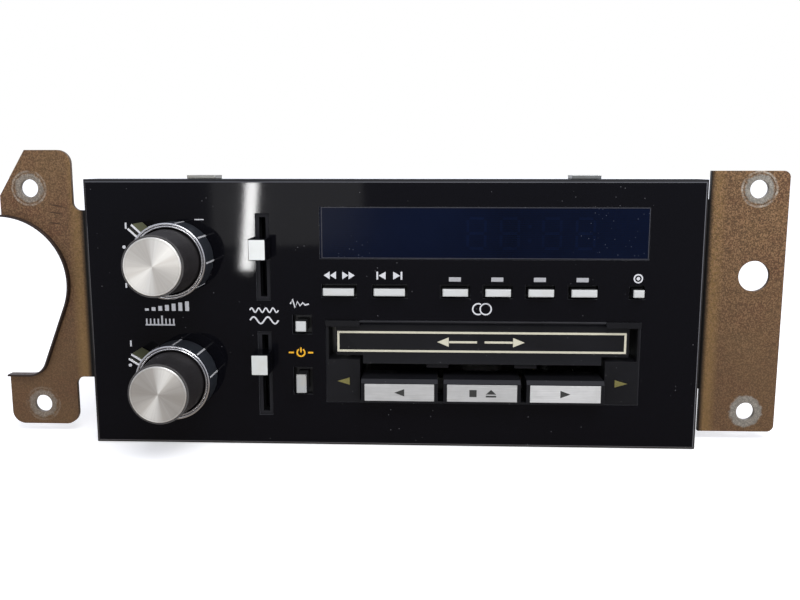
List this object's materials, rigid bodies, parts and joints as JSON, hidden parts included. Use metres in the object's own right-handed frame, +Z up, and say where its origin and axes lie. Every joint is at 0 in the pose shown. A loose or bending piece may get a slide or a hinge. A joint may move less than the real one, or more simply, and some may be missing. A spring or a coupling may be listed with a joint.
{
  "type": "car cassette radio",
  "caption": "Dash-mount car cassette radio with gloss black fascia, concentric knobs with pointer rings, tone sliders, push keys, cassette door, steel case and side brackets.",
  "frame": {"origin": "bottom centre of the bounding box, on the plane of the case floor", "axes": "+X to the right seen from the front, +Y into the dash, +Z up"},
  "size_m": [0.2356, 0.1986, 0.0874],
  "materials": {
    "zinc_steel": "zinc-plated steel sheet, slightly dulled",
    "bracket_steel": "yellow-zinc steel, aged brown and mottled",
    "screw_steel": "zinc-plated hexagon screws",
    "sink_black": "black anodised extrusion",
    "nickel": "nickel-plated",
    "socket_nylon": "natural nylon",
    "fascia_black": "polished black moulding",
    "display_blue": "smoked dark blue acrylic",
    "surround_black": "satin black moulding",
    "arrow_amber": "translucent olive amber",
    "tube_glass": "vacuum fluorescent tube glass",
    "board_green": "solder-masked board",
    "board_brown": "paper-phenolic board with parts",
    "switch_black": "moulded switch bodies",
    "tin_steel": "tinned steel",
    "spun_aluminium": "spun with fine concentric lines",
    "knob_black": "matt black moulding",
    "ring_black": "gloss black with a bright rim",
    "key_white": "off-white satin moulding",
    "slider_black": "gloss black with a white face",
    "plate_silver": "brushed aluminium foil plate",
    "brass": "turned brass",
    "belt_rubber": "neoprene belt",
    "roller_rubber": "moulded rubber",
    "spindle_nylon": "white acetal"
  },
  "bodies": {
    "case": {"chassis": "zinc_steel", "top_cover": "zinc_steel", "left_bracket": "bracket_steel", "right_bracket": "bracket_steel", "case_screws": "screw_steel", "heat_sink": "sink_black", "antenna_socket": "nickel", "wiring_sockets": "socket_nylon", "fascia": "fascia_black", "display_lens": "display_blue", "cassette_surround": "surround_black", "direction_lenses": "arrow_amber", "display_tube": "tube_glass", "front_board": "board_green", "key_switches": "switch_black", "slide_controls": "tin_steel", "main_board": "board_brown", "tuner_module": "tin_steel", "volume_control": "tin_steel", "tune_control": "tin_steel", "control_nuts": "nickel", "deck_frame": "zinc_steel", "drive_belt": "belt_rubber", "deck_motor": "tin_steel"},
    "volume": {"volume_shaft": "nickel", "volume_knob": "knob_black", "volume_knob_cap": "spun_aluminium"},
    "balance": {"balance_ring": "ring_black"},
    "tune": {"tune_shaft": "nickel", "tune_knob": "knob_black", "tune_knob_cap": "spun_aluminium"},
    "fader": {"fader_ring": "ring_black"},
    "treble": {"treble_slider": "slider_black"},
    "bass": {"bass_slider": "slider_black"},
    "scan_key": {"scan_button": "key_white"},
    "seek_key": {"seek_button": "key_white"},
    "preset_key_1": {"preset_button_1": "key_white"},
    "preset_key_2": {"preset_button_2": "key_white"},
    "preset_key_3": {"preset_button_3": "key_white"},
    "preset_key_4": {"preset_button_4": "key_white"},
    "set_key": {"set_button": "key_white"},
    "noise_filter_key": {"noise_filter_button": "key_white"},
    "power_key": {"power_button": "key_white"},
    "door": {"cassette_door": "surround_black"},
    "reverse_key": {"reverse_button": "surround_black", "reverse_plate": "plate_silver"},
    "eject_key": {"eject_button": "surround_black", "eject_plate": "plate_silver"},
    "forward_key": {"forward_button": "surround_black", "forward_plate": "plate_silver"},
    "carriage": {"cassette_carriage": "zinc_steel"},
    "reel_front": {"reel_spindle_front": "spindle_nylon"},
    "reel_rear": {"reel_spindle_rear": "spindle_nylon"},
    "capstan_front": {"flywheel_front": "brass"},
    "capstan_rear": {"flywheel_rear": "brass"},
    "motor_rotor": {"motor_pulley": "brass"},
    "head_slide": {"head_bridge": "zinc_steel", "tape_head": "nickel"},
    "pinch_front": {"pinch_roller_front": "roller_rubber"},
    "pinch_rear": {"pinch_roller_rear": "roller_rubber"}
  },
  "joints": [
    {"name": "volume_turn", "type": "hinge", "parent": "case", "child": "volume", "pos_m": [-0.06035, -0.07667, 0.0562], "axis": [0, 1, 0], "range_deg": [-150, 150]},
    {"name": "balance_turn", "type": "hinge", "parent": "case", "child": "balance", "pos_m": [-0.06035, -0.07667, 0.0562], "axis": [0, 1, 0], "range_deg": [-85, 5]},
    {"name": "tune_turn", "type": "hinge", "parent": "case", "child": "tune", "pos_m": [-0.06035, -0.07667, 0.0212], "axis": [0, 1, 0], "continuous": true},
    {"name": "fader_turn", "type": "hinge", "parent": "case", "child": "fader", "pos_m": [-0.06035, -0.07667, 0.0212], "axis": [0, 1, 0], "range_deg": [-78, 12]},
    {"name": "treble_slide", "type": "slide", "parent": "case", "child": "treble", "axis": [0, 0, 1], "range_m": [-0.0126, 0.0068]},
    {"name": "bass_slide", "type": "slide", "parent": "case", "child": "bass", "axis": [0, 0, 1], "range_m": [-0.0141, 0.0053]},
    {"name": "scan_key_press", "type": "slide", "parent": "case", "child": "scan_key", "axis": [0, 1, 0], "range_m": [0, 0.0012], "stiffness_N_per_m": 250, "springref_m": -0.001},
    {"name": "seek_key_press", "type": "slide", "parent": "case", "child": "seek_key", "axis": [0, 1, 0], "range_m": [0, 0.0012], "stiffness_N_per_m": 250, "springref_m": -0.001},
    {"name": "preset_key_1_press", "type": "slide", "parent": "case", "child": "preset_key_1", "axis": [0, 1, 0], "range_m": [0, 0.0012], "stiffness_N_per_m": 250, "springref_m": -0.001},
    {"name": "preset_key_2_press", "type": "slide", "parent": "case", "child": "preset_key_2", "axis": [0, 1, 0], "range_m": [0, 0.0012], "stiffness_N_per_m": 250, "springref_m": -0.001},
    {"name": "preset_key_3_press", "type": "slide", "parent": "case", "child": "preset_key_3", "axis": [0, 1, 0], "range_m": [0, 0.0012], "stiffness_N_per_m": 250, "springref_m": -0.001},
    {"name": "preset_key_4_press", "type": "slide", "parent": "case", "child": "preset_key_4", "axis": [0, 1, 0], "range_m": [0, 0.0012], "stiffness_N_per_m": 250, "springref_m": -0.001},
    {"name": "set_key_press", "type": "slide", "parent": "case", "child": "set_key", "axis": [0, 1, 0], "range_m": [0, 0.0012], "stiffness_N_per_m": 250, "springref_m": -0.001},
    {"name": "noise_filter_key_press", "type": "slide", "parent": "case", "child": "noise_filter_key", "axis": [0, 1, 0], "range_m": [0, 0.0012], "stiffness_N_per_m": 250, "springref_m": -0.001},
    {"name": "power_key_press", "type": "slide", "parent": "case", "child": "power_key", "axis": [0, 1, 0], "range_m": [0, 0.0025], "stiffness_N_per_m": 250, "springref_m": -0.001},
    {"name": "door_swing", "type": "hinge", "parent": "case", "child": "door", "pos_m": [0.02855, -0.07487, 0.0363], "axis": [1, 0, 0], "range_deg": [0, 90], "stiffness_Nm_per_rad": 0.004, "springref_deg": -17.19},
    {"name": "reverse_key_press", "type": "slide", "parent": "case", "child": "reverse_key", "axis": [0, 1, 0], "range_m": [0, 0.004], "stiffness_N_per_m": 400, "springref_m": -0.002},
    {"name": "eject_key_press", "type": "slide", "parent": "case", "child": "eject_key", "axis": [0, 1, 0], "range_m": [0, 0.004], "stiffness_N_per_m": 400, "springref_m": -0.002},
    {"name": "forward_key_press", "type": "slide", "parent": "case", "child": "forward_key", "axis": [0, 1, 0], "range_m": [0, 0.004], "stiffness_N_per_m": 400, "springref_m": -0.002},
    {"name": "carriage_drop", "type": "slide", "parent": "case", "child": "carriage", "axis": [0, 0, -1], "range_m": [0, 0.0045], "stiffness_N_per_m": 300, "springref_m": -0.006},
    {"name": "head_advance", "type": "slide", "parent": "case", "child": "head_slide", "axis": [-1, 0, 0], "range_m": [0, 0.0047]},
    {"name": "pinch_front_spin", "type": "hinge", "parent": "head_slide", "child": "pinch_front", "pos_m": [0.06475, -0.03027, 0.019], "axis": [0, 0, 1], "continuous": true},
    {"name": "pinch_rear_spin", "type": "hinge", "parent": "head_slide", "child": "pinch_rear", "pos_m": [0.06475, 0.00972, 0.019], "axis": [0, 0, 1], "continuous": true},
    {"name": "capstan_rear_spin", "type": "hinge", "parent": "case", "child": "capstan_rear", "pos_m": [0.0535, 0.00972, 0.008], "axis": [0, 0, 1], "continuous": true},
    {"name": "capstan_front_spin", "type": "hinge", "parent": "case", "child": "capstan_front", "pos_m": [0.0535, -0.03027, 0.008], "axis": [0, 0, 1], "continuous": true},
    {"name": "motor_spin", "type": "hinge", "parent": "case", "child": "motor_rotor", "pos_m": [0.00855, 0.05922, 0.008], "axis": [0, 0, 1], "continuous": true},
    {"name": "reel_front_spin", "type": "hinge", "parent": "case", "child": "reel_front", "pos_m": [0.0309, -0.03152, 0.018], "axis": [0, 0, 1], "continuous": true},
    {"name": "reel_rear_spin", "type": "hinge", "parent": "case", "child": "reel_rear", "pos_m": [0.0309, 0.01098, 0.018], "axis": [0, 0, 1], "continuous": true}
  ],
  "couplings": [
    {"joint": "head_advance", "follows": "carriage_drop", "ratio": 1.04},
    {"joint": "capstan_front_spin", "follows": "capstan_rear_spin", "ratio": -1},
    {"joint": "motor_spin", "follows": "capstan_rear_spin", "ratio": -4.2258}
  ]
}
